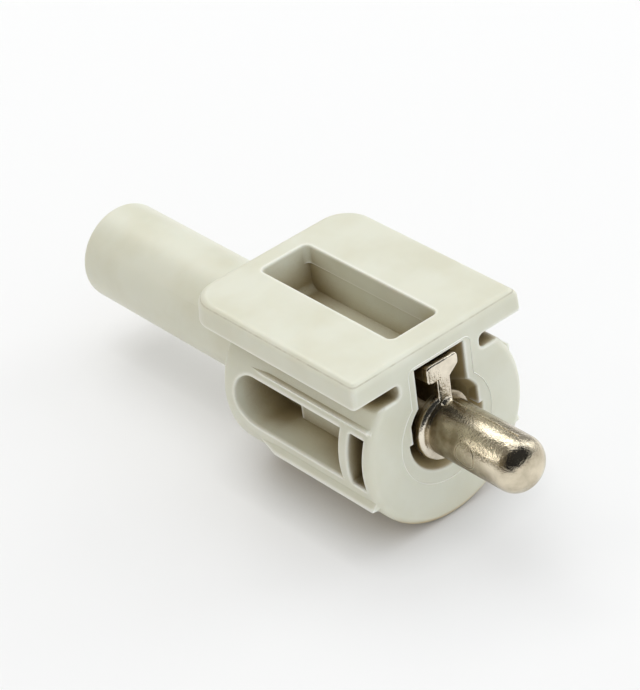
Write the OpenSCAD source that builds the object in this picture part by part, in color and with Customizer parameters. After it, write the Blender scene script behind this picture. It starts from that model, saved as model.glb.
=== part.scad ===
// Spring-loaded shelf support pin: a moulded housing that is pressed into a bored
// panel, a die-cast plunger that slides in it, and the spring that pushes it out.
// The front face is y = 0, the pin points along -Y, the plate is on top (+Z), and
// z = 0 is the axis of the barrel and the stem.

/* [Barrel] */
// Diameter of the barrel between its crush ribs
barrel_d = 17.4; // [17:0.1:18]
// Length of the barrel behind the front face
barrel_l = 18.8; // [18.6:0.1:19.6]
// Rounding of the barrel's front edge
barrel_front_round = 0.65; // [0.3:0.05:0.9]
// Rounding of the barrel's rear edge
barrel_rear_round = 0.6; // [0.3:0.05:0.9]
// Height of the two upper crush ribs above the barrel
upper_rib_h = 0.3; // [0.2:0.05:0.8]
// Width of the upper crush ribs at the foot
upper_rib_w = 0.6; // [0.4:0.1:1.4]
// Height of the two lower crush ribs above the barrel
lower_rib_h = 0.65; // [0.2:0.05:0.8]
// Width of the lower crush ribs at the foot
lower_rib_w = 1; // [0.4:0.1:1.4]
// Angle of the upper crush ribs above the horizontal
upper_rib_angle = 26; // [25:0.5:34]
// Angle of the lower crush ribs below the horizontal
lower_rib_angle = 25; // [24:0.5:34]
// Distance from the front face to the crush ribs
rib_start = 0.25; // [0.1:0.05:1.5]
// Length of the crush ribs
rib_l = 15.4; // [8:0.1:16]
// Length over which a crush rib rises at the front
rib_lead = 0.3; // [0.1:0.1:1.5]
// Length over which a crush rib falls away at the rear
rib_run_out = 2.6; // [0.5:0.1:4]

/* [Stem] */
// Diameter of the stem that holds the spring
stem_d = 9.2; // [8.8:0.1:10]
// Length of the stem behind the barrel
stem_l = 25.3; // [24:0.1:30]
// Rounding of the stem's closed end
stem_round = 0.55; // [0.2:0.05:1]
// Thickness of the stem's closed end
stem_floor = 1.6; // [1:0.1:2.5]

/* [Plate] */
// Width of the plate at its underside
plate_w = 18.7; // [17:0.1:24]
// Length of the plate
plate_l = 21.6; // [21:0.1:26]
// Thickness of the plate
plate_t = 2.25; // [2:0.05:3]
// Height of the plate's underside above the barrel's axis
plate_rise = 7; // [6.8:0.05:7.5]
// Rounding of the plate's upper edges
plate_edge_round = 0.75; // [0.3:0.05:1]
// Radius of the plate's two rear corners, seen from above
plate_corner_r = 3; // [1.5:0.1:4]
// Radius of the plate's two front corners, seen from above
plate_front_r = 0.4; // [0.2:0.05:0.8]
// How far the plate's sides lean in from bottom to top
plate_draft = 0.15; // [0.05:0.05:0.3]

/* [Web under the plate] */
// Width of the web that joins the plate to the barrel
web_w = 8.9; // [8:0.1:10]
// Height of the groove between the plate and the barrel
groove_h = 1.35; // [1.1:0.05:1.5]
// Radius in the groove's two inner corners
groove_r = 0.5; // [0.2:0.05:0.55]
// Radius where the groove's floor meets the round barrel
shoulder_r = 1.4; // [0.4:0.1:2]
// Thickness of the wall behind the slot
web_end_wall = 1.2; // [0.8:0.1:1.8]

/* [Slot and channel] */
// Width of the slot through the plate
slot_w = 5.2; // [4.4:0.1:5.4]
// Distance from the front face to the slot
slot_front = 2.65; // [2:0.05:4]
// Length of the slot
slot_l = 16.55; // [16:0.05:17]
// Corner radius of the slot
slot_corner_r = 0.4; // [0.2:0.05:0.8]
// How much wider than the slot the channel below it is
channel_extra_w = 0.2; // [0.1:0.05:0.4]
// Play between the tab's head and the roof of the channel
head_clear = 0.25; // [0.15:0.05:0.4]
// Thickness of the two ledges over the guide bore
ledge_t = 0.75; // [0.5:0.05:1]
// Play between the tab at rest and the ledges behind it
ledge_clear = 0.3; // [0.2:0.05:0.6]
// Play between the tab's neck and the slit between the ledges, each side
slit_clear = 0.3; // [0.15:0.05:0.5]
// Radius at the bottom of the channel's rear end
channel_end_r = 0.8; // [0.3:0.1:1]

/* [Guide bore] */
// Height of the pin's axis above the barrel's axis
guide_rise = 0.55; // [0.3:0.05:0.7]
// Diameter of the bore's mouth on the front face
mouth_d = 8.2; // [7.6:0.1:8.4]
// Length of the tapered mouth
mouth_l = 2.5; // [1.5:0.1:4]
// Width of the mouth above the pin's axis
mouth_upper_w = 7.35; // [7:0.05:7.6]
// Radial play of the collar in the guide bore
collar_clear = 0.1; // [0.05:0.01:0.2]
// Width of the bead that keeps the plunger in
bead_w = 0.6; // [0.4:0.1:1]
// Height of the bead above the spring bore
bead_h = 0.5; // [0.3:0.05:0.6]

/* [Side pockets] */
// Height of the side pockets
pocket_h = 4.9; // [4.2:0.1:5.2]
// Distance from the front face to the small pocket
pocket_front = 0.95; // [0.9:0.05:1.2]
// Length of the small pocket
small_pocket_l = 1.75; // [1.2:0.05:2]
// Thickness of the divider between the pockets
divider_t = 1.15; // [0.8:0.05:1.6]
// Length of the large pocket
pocket_l = 13.35; // [12.5:0.05:13.5]
// Thickness of the bore's wall beside the pockets
pocket_wall = 1.0; // [0.8:0.05:1.3]
// Length of the large pocket's deeper rear part
pocket_deep_l = 4.4; // [3:0.1:5]
// Extra depth of that rear part
pocket_deep = 0.9; // [0.3:0.1:1]

/* [Plunger] */
// Diameter of the pin
pin_d = 5; // [4.8:0.05:5.2]
// How far the pin stands out of the front face
pin_reach = 10.1; // [9:0.1:11]
// Rounding of the pin's end
pin_tip_round = 1.8; // [0.8:0.1:2.2]
// Diameter of the collar
collar_d = 6.4; // [6.2:0.05:6.6]
// Thickness of the collar
collar_t = 1; // [0.8:0.05:1.3]
// Diameter of the collar's lower step, on its right side
step_d = 5.8; // [5.4:0.05:6]
// Thickness of that step
step_t = 0.3; // [0.2:0.05:0.6]
// Distance from the middle to the collar's parting line
parting_x = 0.45; // [0.1:0.05:0.7]
// Rounding of the collar's front edge
collar_round = 0.35; // [0.1:0.05:0.45]
// How far the collar and the tab stand out of the front face
collar_proud = 0.35; // [0.1:0.05:0.5]
// Diameter of the relief between the pin and the collar's step
relief_d = 4.6; // [4.4:0.1:4.6]
// Diameter of the shank behind the collar
shank_d = 4.2; // [3.6:0.1:4.4]
// Diameter of the head that the bead holds back
catch_d = 5.6; // [5.5:0.05:5.65]
// Length of that head
catch_l = 1.4; // [1:0.1:2]
// Radial play of that head in the spring bore
catch_clear = 0.1; // [0.05:0.01:0.15]
// Play between the bead and the head at rest
stop_clear = 0.08; // [0.04:0.01:0.15]
// Diameter of the spigot that centres the spring
spigot_d = 3; // [2:0.1:3.2]
// Length of that spigot
spigot_l = 3; // [2:0.1:5]

/* [Tab] */
// Length of the tab along the pin
tab_l = 5.25; // [4:0.05:5.6]
// Width of the tab's head
head_w = 3.4; // [3:0.1:3.8]
// Height of the head's straight side on its square side
head_h = 1.75; // [1.4:0.05:1.9]
// Height of the head's straight side on its sloped side
head_slope_h = 1.1; // [0.8:0.05:1.3]
// Height of the slope into the neck
slope_h = 0.8; // [0.5:0.05:1]
// Width of the tab's neck
neck_w = 1.4; // [1:0.05:1.6]
// Radius of the head's corners
head_r = 0.3; // [0.1:0.05:0.4]
// Width of the gusset between the neck and the pin
gusset_w = 0.8; // [0.5:0.05:1.2]
// Radius of the gusset's hollow front
gusset_r = 0.6; // [0.4:0.05:0.6]

/* [Spring] */
// Diameter of the spring's wire
wire_d = 0.5; // [0.4:0.05:0.6]
// Mean diameter of the spring's coils
coil_d = 4.4; // [4.2:0.05:4.6]
// Number of coils
coils = 12; // [9:1:14]
// Play at each end of the spring
spring_end_clear = 0.05; // [0.02:0.01:0.1]

/* [Hidden] */
$fn = 96;
eps = 0.01;
over = 1;
wire_sides = 6;
steps_per_coil = 16;

barrel_r = barrel_d / 2;
stem_r = stem_d / 2;
stem_end = barrel_l + stem_l;
groove_floor = plate_rise - groove_h;
plate_top = plate_rise + plate_t;
web_l = slot_front + slot_l + web_end_wall;

collar_rear = collar_t - collar_proud;
guide_r = collar_d / 2 + collar_clear;
spring_bore_r = catch_d / 2 + catch_clear;
bead_r = spring_bore_r - bead_h;
stroke = pin_reach + collar_proud;
bead_y = collar_rear + stroke + stop_clear;
catch_y = bead_y + bead_w + stop_clear;
seat_y = stem_end - stem_floor;

ledge_top = guide_rise + guide_r + ledge_t;
tab_rear = tab_l - collar_proud;
ledge_y = tab_rear + ledge_clear;
slit_w = neck_w + 2 * slit_clear;
slit_end = tab_rear + stroke + ledge_clear;
channel_w = slot_w + 2 * channel_extra_w / 2;
head_top = ledge_top + ledge_clear + head_h + 2 * head_clear;
channel_top = head_top + head_clear;
slot_end = slot_front + slot_l;

large_pocket_y = pocket_front + small_pocket_l + divider_t;
large_pocket_end = large_pocket_y + pocket_l;
pocket_x = mouth_d / 2 + pocket_wall;
deep_pocket_y = large_pocket_end - pocket_deep_l;

module section(from, length)
  // A shape drawn in x and z, run along y.
  translate([0, from + length, 0]) rotate([90, 0, 0]) linear_extrude(length) children();

module along_y(from)
  // A turned shape whose axis runs along +Y.
  translate([0, from, 0]) rotate([-90, 0, 0]) children();

module quarter(r)
  // A quarter of a disc.
  intersection() {
    circle(r);
    square(r);
  }

module rounded_rod(r, length, near_r, far_r)
  // A solid rod along +Y with rounded edges at both ends.
  rotate([-90, 0, 0]) rotate_extrude() {
    translate([0, near_r]) square([r, length - near_r - far_r]);
    square([r - near_r, length / 2]);
    translate([0, length / 2]) square([r - far_r, length / 2]);
    translate([r - near_r, near_r]) mirror([0, 1]) quarter(near_r);
    translate([r - far_r, length - far_r]) quarter(far_r);
  }

module rounded_rect(w, l, r) {
  // A rectangle with rounded corners, centred on x and starting at y = 0.
  translate([-w / 2 + r, 0]) square([w - 2 * r, l]);
  translate([-w / 2, r]) square([w, l - 2 * r]);
  for (x = [-1, 1], y = [r, l - r])
    translate([x * (w / 2 - r), y]) circle(r);
}

// ---------------------------------------------------------------- housing

module barrel_section() {
  // The round barrel, flattened under the plate with a rounded shoulder each side.
  out = barrel_r - shoulder_r;
  x = sqrt(out * out - pow(groove_floor - shoulder_r, 2));
  intersection() {
    circle(barrel_r);
    translate([-barrel_r, -barrel_r])
      square([barrel_d, barrel_r + (groove_floor - shoulder_r) * barrel_r / out]);
  }
  translate([-x, 0]) square([2 * x, groove_floor]);
  for (side = [-1, 1])
    translate([side * x, groove_floor - shoulder_r]) circle(shoulder_r);
}

module barrel()
  intersection() {
    rounded_rod(barrel_r, barrel_l, barrel_front_round, barrel_rear_round);
    section(0, barrel_l) barrel_section();
  }

module crush_rib(h, w)
  // A rib on the +X side: a triangle along y, cut to a long low wedge.
  intersection() {
    section(rib_start, rib_l)
      polygon([[barrel_r + h, 0], [barrel_r - h, w], [barrel_r - h, -w]]);
    translate([0, rib_start, -w]) linear_extrude(2 * w)
      polygon([[barrel_r - h, 0], [barrel_r, 0], [barrel_r + h, rib_lead],
               [barrel_r + h, rib_l - rib_run_out], [barrel_r, rib_l], [barrel_r - h, rib_l]]);
  }

module crush_ribs()
  for (side = [0, 1]) mirror([side, 0, 0]) {
    rotate([0, -upper_rib_angle, 0]) crush_rib(upper_rib_h, upper_rib_w);
    rotate([0, lower_rib_angle, 0]) crush_rib(lower_rib_h, lower_rib_w);
  }

module groove_corner() {
  // The hollow corner on the +X side of the web, for a floor at z = 0.
  translate([web_w / 2, 0]) difference() {
    translate([-eps, -eps]) square(groove_r + eps);
    translate([groove_r, groove_r]) circle(groove_r);
  }
}

module web() {
  translate([-web_w / 2, 0, groove_floor - groove_r])
    cube([web_w, web_l, groove_h + groove_r + eps]);
  for (side = [0, 1]) mirror([side, 0, 0]) {
    section(0, barrel_l - barrel_rear_round) translate([0, groove_floor]) groove_corner();
    section(0, web_l) translate([0, plate_rise]) mirror([0, 1]) groove_corner();
  }
  // Behind the barrel the web stands on the stem and closes the channel's end.
  foot_w = min(channel_w + 2 * web_end_wall, web_w);
  translate([-foot_w / 2, barrel_l - over, 0])
    cube([foot_w, web_l - barrel_l + over, groove_floor]);
}

module plate_edge(w, lean) {
  // The plate's section from its middle to a leaning, rounded edge.
  r = plate_edge_round;
  polygon([[0, 0], [w, 0], [w - lean, plate_t - r], [w - lean - r, plate_t], [0, plate_t]]);
  translate([w - lean - r, plate_t - r]) circle(r);
}

module front_edge(length) {
  // The plate's section along y: an upright front edge, then length straight on.
  translate([plate_corner_r, 0]) mirror([1, 0]) plate_edge(plate_corner_r, 0);
  translate([plate_corner_r, 0]) square([length - plate_corner_r, plate_t]);
}

module plate() {
  half = plate_w / 2;
  c = plate_corner_r;
  lean = plate_draft;
  translate([0, 0, plate_rise]) difference() {
    union() {
      // The middle, from the front edge to the rear edge.
      translate([-half + c, 0, 0]) rotate([90, 0, 90]) linear_extrude(plate_w - 2 * c) {
        front_edge(plate_l - c);
        translate([plate_l - c, 0]) plate_edge(c, lean);
      }
      // The two sides, cut to the front edge's section.
      intersection() {
        translate([0, plate_l - c, 0]) rotate([90, 0, 0]) linear_extrude(plate_l - c)
          for (side = [0, 1]) mirror([side, 0]) plate_edge(half, lean);
        translate([-half, 0, 0]) rotate([90, 0, 90]) linear_extrude(plate_w)
          front_edge(plate_l);
      }
      // The two rear corners.
      for (side = [-1, 1])
        translate([side * (half - c), plate_l - c, 0]) rotate_extrude() plate_edge(c, lean);
    }
    for (side = [0, 1]) mirror([side, 0, 0])
      translate([half - plate_front_r, 0, -over]) linear_extrude(plate_t + 2 * over)
        difference() {
          translate([0, -over]) square([plate_front_r + over, plate_front_r + over]);
          translate([0, plate_front_r]) circle(plate_front_r);
        }
  }
}

module stem()
  along_y(barrel_l - over) rotate([90, 0, 0])
    rounded_rod(stem_r, stem_l + over, eps, stem_round);

module keyhole_mouth()
  intersection() {
    translate([0, 0, guide_rise]) along_y(-over)
      cylinder(r1 = mouth_d / 2 + over * (mouth_d / 2 - guide_r) / mouth_l, r2 = guide_r,
               h = mouth_l + over);
    union() {
      translate([-mouth_upper_w / 2, -2 * over, 0])
        cube([mouth_upper_w, mouth_l + 4 * over, barrel_r]);
      translate([-barrel_r, -2 * over, -barrel_r])
        cube([barrel_d, mouth_l + 4 * over, barrel_r + guide_rise]);
    }
  }

module bores() {
  translate([0, 0, guide_rise]) {
    along_y(mouth_l - eps) cylinder(r = guide_r, h = bead_y - mouth_l + eps);
    along_y(bead_y - eps) cylinder(r = bead_r, h = bead_w + 2 * eps);
    along_y(bead_y + bead_w) cylinder(r = spring_bore_r, h = seat_y - bead_y - bead_w);
  }
}

module channel() {
  // The keyhole's upper part and the tunnel that the tab's head runs in.
  translate([-channel_w / 2, -over, guide_rise])
    cube([channel_w, ledge_y + over, channel_top - guide_rise]);
  translate([-channel_w / 2, 0, ledge_top])
    cube([channel_w, slot_end - channel_end_r, channel_top - ledge_top]);
  translate([-channel_w / 2, 0, ledge_top + channel_end_r])
    cube([channel_w, slot_end, channel_top - ledge_top - channel_end_r]);
  translate([-channel_w / 2, slot_end - channel_end_r, ledge_top + channel_end_r])
    rotate([0, 90, 0]) cylinder(r = channel_end_r, h = channel_w);
  // The slit between the ledges, for the tab's neck.
  translate([-slit_w / 2, 0, guide_rise])
    cube([slit_w, slit_end, channel_top - guide_rise - eps]);
  // The slot through the plate.
  translate([0, slot_front, channel_top - eps])
    linear_extrude(plate_top - channel_top + over) rounded_rect(slot_w, slot_l, slot_corner_r);
}

module pocket_cut(from, length, depth_x, rear_r)
  // One pocket on the +X side, with its rear end rounded in the side view.
  translate([depth_x, from, guide_rise]) rotate([90, 0, 90]) linear_extrude(barrel_r) {
    translate([0, -pocket_h / 2]) square([length - rear_r, pocket_h]);
    translate([0, -pocket_h / 2 + rear_r]) square([length, pocket_h - 2 * rear_r]);
    for (up = [-1, 1])
      translate([length - rear_r, up * (pocket_h / 2 - rear_r)]) circle(rear_r);
  }

module pockets()
  for (side = [0, 1]) mirror([side, 0, 0]) {
    pocket_cut(pocket_front, small_pocket_l, pocket_x, small_pocket_l / 8);
    pocket_cut(large_pocket_y, pocket_l, pocket_x, 0.45 * pocket_h);
    pocket_cut(deep_pocket_y, pocket_deep_l, pocket_x - pocket_deep, 0.45 * pocket_h);
  }

module housing() color([0.86, 0.85, 0.78])
  difference() {
    union() {
      barrel();
      crush_ribs();
      web();
      plate();
      stem();
    }
    keyhole_mouth();
    bores();
    channel();
    pockets();
  }

// ---------------------------------------------------------------- plunger

module tab_profile() {
  // The tab seen from the front: a square shoulder on -X, a slope on +X.
  half = head_w / 2;
  r = head_r;
  translate([0, head_top]) {
    polygon([[-half, -r], [-half + r, 0], [half - r, 0], [half, -r], [half, -head_slope_h],
             [neck_w / 2, -head_slope_h - slope_h], [neck_w / 2, -head_h - over],
             [-neck_w / 2, -head_h - over], [-neck_w / 2, -head_h], [-half + r, -head_h],
             [-half, -head_h + r]]);
    for (x = [-1, 1]) translate([x * (half - r), -r]) circle(r);
    translate([-half + r, -head_h + r]) circle(r);
  }
  translate([-neck_w / 2, guide_rise]) square([neck_w, head_top - head_h - guide_rise]);
}

module gusset()
  translate([gusset_w / 2, -collar_proud, guide_rise + pin_d / 2]) rotate([0, -90, 0])
    linear_extrude(gusset_w) difference() {
      translate([-gusset_r, -gusset_r]) square([2 * gusset_r, gusset_r + over]);
      translate([gusset_r, -gusset_r]) circle(gusset_r);
    }

module collar() {
  intersection() {
    translate([0, -collar_proud, 0]) rounded_rod(collar_d / 2, collar_t, collar_round, eps);
    translate([parting_x - collar_d, -over, -collar_d])
      cube([collar_d, collar_t + 2 * over, 2 * collar_d]);
  }
  along_y(collar_rear - step_t) cylinder(d = step_d, h = step_t);
}

module plunger() color([0.72, 0.66, 0.58]) {
  section(-collar_proud, tab_l) tab_profile();
  gusset();
  translate([0, 0, guide_rise]) {
    translate([0, -pin_reach, 0])
      rounded_rod(pin_d / 2, pin_reach - collar_proud, pin_tip_round, eps);
    along_y(-collar_proud - eps) cylinder(d = relief_d, h = collar_t + eps);
    collar();
    along_y(-over) cylinder(d = shank_d, h = catch_y + over + eps);
    along_y(catch_y) cylinder(d = catch_d, h = catch_l);
    along_y(catch_y + catch_l - eps) cylinder(d = spigot_d, h = spigot_l);
  }
}

// ----------------------------------------------------------------- spring

module spring() color([0.7, 0.7, 0.72]) {
  from = catch_y + catch_l + spring_end_clear + wire_d / 2;
  length = seat_y - spring_end_clear - wire_d / 2 - from;
  rings = coils * steps_per_coil;
  points = [for (i = [0 : rings], s = [0 : wire_sides - 1])
    let (turn = 360 * i / steps_per_coil,
         a = 360 * s / wire_sides,
         r = coil_d / 2 + wire_d / 2 * cos(a))
    [r * cos(turn), from + length * i / rings + wire_d / 2 * sin(a),
     guide_rise + r * sin(turn)]];
  sides = [for (i = [0 : rings - 1], s = [0 : wire_sides - 1])
    let (a = i * wire_sides + s, b = i * wire_sides + (s + 1) % wire_sides)
    [a, b, b + wire_sides, a + wire_sides]];
  ends = [[for (s = [wire_sides - 1 : -1 : 0]) s],
          [for (s = [0 : wire_sides - 1]) rings * wire_sides + s]];
  polyhedron(points, concat(sides, ends));
}

housing();
plunger();
spring();
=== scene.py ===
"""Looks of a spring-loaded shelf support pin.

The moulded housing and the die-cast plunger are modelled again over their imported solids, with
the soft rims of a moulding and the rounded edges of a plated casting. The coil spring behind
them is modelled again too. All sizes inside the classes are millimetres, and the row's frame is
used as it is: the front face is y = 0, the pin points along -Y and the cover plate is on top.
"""
import logging
import math
from collections.abc import Callable
from dataclasses import dataclass, field
from enum import Enum

import bmesh
import bpy
from mathutils import Euler, Matrix, Vector


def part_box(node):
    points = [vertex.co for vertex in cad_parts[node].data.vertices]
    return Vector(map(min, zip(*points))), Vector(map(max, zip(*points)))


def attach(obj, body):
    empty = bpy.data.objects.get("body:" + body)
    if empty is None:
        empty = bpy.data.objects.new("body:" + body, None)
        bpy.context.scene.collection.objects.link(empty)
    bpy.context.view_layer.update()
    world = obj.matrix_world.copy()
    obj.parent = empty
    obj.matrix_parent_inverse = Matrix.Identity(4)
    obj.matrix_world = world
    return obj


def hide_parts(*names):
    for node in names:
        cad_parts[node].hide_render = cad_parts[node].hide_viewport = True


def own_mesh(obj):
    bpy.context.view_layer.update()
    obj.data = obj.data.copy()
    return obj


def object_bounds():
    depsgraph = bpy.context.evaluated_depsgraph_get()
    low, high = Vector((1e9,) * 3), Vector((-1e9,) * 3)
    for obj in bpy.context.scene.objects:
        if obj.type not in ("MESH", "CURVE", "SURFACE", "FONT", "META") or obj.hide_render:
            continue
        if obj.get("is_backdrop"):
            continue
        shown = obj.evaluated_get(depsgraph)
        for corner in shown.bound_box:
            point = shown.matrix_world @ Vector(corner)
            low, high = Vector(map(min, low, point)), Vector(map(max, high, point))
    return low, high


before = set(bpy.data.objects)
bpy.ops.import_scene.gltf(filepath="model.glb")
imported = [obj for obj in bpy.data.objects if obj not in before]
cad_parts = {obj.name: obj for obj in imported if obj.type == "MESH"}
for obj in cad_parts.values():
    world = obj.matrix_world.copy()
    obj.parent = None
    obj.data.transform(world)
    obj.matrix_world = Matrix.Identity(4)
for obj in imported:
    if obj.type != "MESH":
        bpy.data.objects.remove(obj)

log = logging.getLogger("shelf_support_pin")

# Metres in a millimetre, a difference that counts as none, and how far a cutter stands out.
MM = 0.001
TINY = 1e-4
OVER = 1.0

# Straight steps in a rounding, from a fine lip to a wide curve, and in a full turn.
LIP_STEPS = 3
SMALL_STEPS = 4
CORNER_STEPS = 6
ROUND_STEPS = 8
WIDE_STEPS = 12
TURN_STEPS = 96

# Rays that feel for the surfaces around a point.
FEELERS = 8

Point = tuple[float, float]
Place = tuple[float, float, float]
Colour = tuple[float, float, float]


class Mix(Enum):
    """How one solid is combined with another."""

    JOIN = "UNION"
    CUT = "DIFFERENCE"
    KEEP = "INTERSECT"


class Axis(Enum):
    """The direction that a flat outline is extruded along, as a matrix from x, y, z."""

    X = Matrix(((0, 0, 1), (1, 0, 0), (0, 1, 0)))
    Y = Matrix(((1, 0, 0), (0, 0, 1), (0, 1, 0)))
    Z = Matrix(((1, 0, 0), (0, 1, 0), (0, 0, 1)))


def arc(centre: Point, radius: float, start: float, end: float, steps: int) -> list[Point]:
    """Gives the points of an arc, from one angle in degrees to another in straight steps."""
    turns = [math.radians(start + (end - start) * i / steps) for i in range(steps + 1)]
    return [(centre[0] + radius * math.cos(t), centre[1] + radius * math.sin(t)) for t in turns]


def rises(edge: bmesh.types.BMEdge) -> float:
    """Gives the height between an edge's two ends."""
    return abs(edge.verts[0].co.z - edge.verts[1].co.z)


def both_sides(right: list[Point]) -> list[Point]:
    """Closes the right half of an outline with its mirror image, dropping doubled points."""
    left = [(-x, y) for x, y in reversed(right) if abs(x) > TINY]
    return right + left


def lip(radius: float, steps: int) -> list[Point]:
    """Gives an opening's soft lip as pairs of the depth under the face and the way outwards."""
    turns = [math.pi / 2 * i / steps for i in range(steps + 1)]
    return [(radius * (1 - math.sin(t)), radius * (1 - math.cos(t))) for t in turns]


class Solid:
    """A closed solid in millimetres that operators shape and other solids cut.

    Args:
        mesh: The bmesh that holds the solid.
    """

    doubled_gap = 0.004
    shortest_edge = 0.003
    middle_gap = 0.02
    flat_turn = math.radians(0.3)
    bent_turn = math.radians(1.5)
    fold_turn = math.radians(178)
    face_weight = 80

    def __init__(self, mesh: bmesh.types.BMesh) -> None:
        """Keeps the bmesh."""
        self.mesh = mesh

    @classmethod
    def extruded(cls, outline: list[Point], start: float, end: float, axis: Axis) -> "Solid":
        """Extrudes a flat outline.

        Args:
            outline: The outline's points, in the plane across the axis.
            start: Where the solid begins on the axis.
            end: Where it ends.
            axis: The direction of the extrusion.

        Returns:
            The closed solid.
        """
        mesh = bmesh.new()
        corners = [mesh.verts.new(axis.value @ Vector((x, y, start))) for x, y in outline]
        face = mesh.faces.new(corners)
        moved = bmesh.ops.extrude_face_region(mesh, geom=[face], use_keep_orig=True)
        verts = [v for v in moved["geom"] if isinstance(v, bmesh.types.BMVert)]
        bmesh.ops.translate(mesh, verts=verts, vec=axis.value @ Vector((0, 0, end - start)))
        bmesh.ops.recalc_face_normals(mesh, faces=mesh.faces[:])
        return cls(mesh)

    @classmethod
    def spun(cls, line: list[Place], centre: Place, axis: Place, steps: int,
             closed: bool = False) -> "Solid":
        """Spins a line of points through a full turn.

        Args:
            line: The points.
            centre: A point on the axis.
            axis: The axis's direction.
            steps: The number of steps in the full turn.
            closed: Whether the line's last point joins its first.

        Returns:
            The closed solid.
        """
        mesh = bmesh.new()
        verts = [mesh.verts.new(point) for point in line]
        following = verts[1:] + verts[:1] if closed else verts[1:]
        edges = [mesh.edges.new(pair) for pair in zip(verts, following)]
        bmesh.ops.spin(mesh, geom=verts + edges, cent=centre, axis=axis, angle=math.tau,
                       steps=steps, use_merge=True)
        bmesh.ops.remove_doubles(mesh, verts=mesh.verts[:], dist=TINY)
        bmesh.ops.recalc_face_normals(mesh, faces=mesh.faces[:])
        return cls(mesh)

    @classmethod
    def turned(cls, profile: list[Point], rise: float, steps: int = TURN_STEPS) -> "Solid":
        """Spins a half profile of y and radius about an axis along Y, at a height."""
        line = [(radius, y, rise) for y, radius in profile]
        return cls.spun(line, (0, 0, rise), (0, 1, 0), steps)

    @classmethod
    def lofted(cls, loops: list[list[Vector]], ring: bool = False) -> "Solid":
        """Bridges closed loops that follow each other.

        Args:
            loops: The loops, each with the same number of points.
            ring: Whether the last loop joins the first, in place of two closed ends.

        Returns:
            The closed solid.
        """
        mesh = bmesh.new()
        rings = []
        for loop in loops:
            line = [mesh.verts.new(point) for point in loop]
            rings.append([mesh.edges.new(pair) for pair in zip(line, line[1:] + line[:1])])
        for near, far in zip(rings, rings[1:]):
            bmesh.ops.bridge_loops(mesh, edges=near + far)
        if ring:
            bmesh.ops.bridge_loops(mesh, edges=rings[0] + rings[-1])
        else:
            bmesh.ops.holes_fill(mesh, edges=rings[0] + rings[-1])
        bmesh.ops.recalc_face_normals(mesh, faces=mesh.faces[:])
        return cls(mesh)

    @classmethod
    def block(cls, low: Place, high: Place) -> "Solid":
        """Makes a rectangular block.

        Args:
            low: Its corner with the least x, y and z.
            high: Its opposite corner.

        Returns:
            The block.
        """
        mesh = bmesh.new()
        size = Vector(high) - Vector(low)
        place = Matrix.Translation((Vector(low) + Vector(high)) / 2) @ Matrix.Diagonal(size.to_4d())
        place[3][3] = 1
        bmesh.ops.create_cube(mesh, size=1, matrix=place)
        return cls(mesh)

    def rounded(self, pick: Callable[[bmesh.types.BMEdge], bool], radius: float,
                steps: int) -> "Solid":
        """Rounds the edges that a test picks.

        Args:
            pick: Says whether an edge is rounded.
            radius: The rounding's radius.
            steps: Its number of steps.

        Returns:
            The same solid.
        """
        edges = [edge for edge in self.mesh.edges if pick(edge)]
        bmesh.ops.bevel(self.mesh, geom=edges, offset=radius, offset_type="OFFSET",
                        segments=steps, profile=0.5, affect="EDGES", material=-1)
        return self

    def mirrored(self) -> "Solid":
        """Mirrors a copy of the solid across x = 0.

        Returns:
            The copy, as a new solid.
        """
        copy = self.mesh.copy()
        bmesh.ops.scale(copy, vec=(-1, 1, 1), verts=copy.verts[:])
        bmesh.ops.reverse_faces(copy, faces=copy.faces[:])
        return Solid(copy)

    def turned_about_y(self, degrees: float) -> "Solid":
        """Turns the solid about the y axis.

        Args:
            degrees: How far +X goes towards +Z.

        Returns:
            The same solid.
        """
        turn = Matrix.Rotation(math.radians(-degrees), 3, "Y")
        bmesh.ops.rotate(self.mesh, cent=(0, 0, 0), matrix=turn, verts=self.mesh.verts[:])
        return self

    def mixed(self, how: Mix, *others: "Solid") -> "Solid":
        """Joins, cuts or keeps this solid by others, one after the other.

        Args:
            how: The way to combine them.
            others: The other solids, which are used up.

        Returns:
            The same solid.
        """
        for other in others:
            body = self.as_object("body")
            tool = other.as_object("tool")
            boolean = body.modifiers.new("boolean", "BOOLEAN")
            boolean.operation = how.value
            boolean.solver = "EXACT"
            boolean.object = tool
            graph = bpy.context.evaluated_depsgraph_get()
            result = bpy.data.meshes.new_from_object(body.evaluated_get(graph))
            self.take(result)
            for done in (body.data, tool.data, result):
                bpy.data.meshes.remove(done)
        return self

    def take(self, data: bpy.types.Mesh) -> None:
        """Takes over a mesh, with its points and faces in an order that is the same each run.

        Args:
            data: The mesh, which is left as it is.
        """
        ranks = sorted(range(len(data.vertices)), key=lambda index: tuple(data.vertices[index].co))
        places = {index: rank for rank, index in enumerate(ranks)}
        faces = []
        for polygon in data.polygons:
            corners = [places[index] for index in polygon.vertices]
            first = corners.index(min(corners))
            faces.append(corners[first:] + corners[:first])
        self.mesh.clear()
        verts = [self.mesh.verts.new(data.vertices[index].co) for index in ranks]
        for corners in sorted(faces):
            self.mesh.faces.new([verts[corner] for corner in corners])

    def as_object(self, name: str) -> bpy.types.Object:
        """Links the solid to the scene as an object, in the solid's own units.

        Args:
            name: The name of the object and its mesh.

        Returns:
            The object.
        """
        data = bpy.data.meshes.new(name)
        self.mesh.to_mesh(data)
        thing = bpy.data.objects.new(name, data)
        bpy.context.scene.collection.objects.link(thing)
        return thing

    def halved(self) -> "Solid":
        """Keeps the half on +X and cleans it.

        Returns:
            The same solid.
        """
        every = self.mesh.verts[:] + self.mesh.edges[:] + self.mesh.faces[:]
        bmesh.ops.bisect_plane(self.mesh, geom=every, dist=TINY, plane_co=(0, 0, 0),
                               plane_no=(1, 0, 0), clear_inner=True)
        return self.cleaned()

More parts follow.
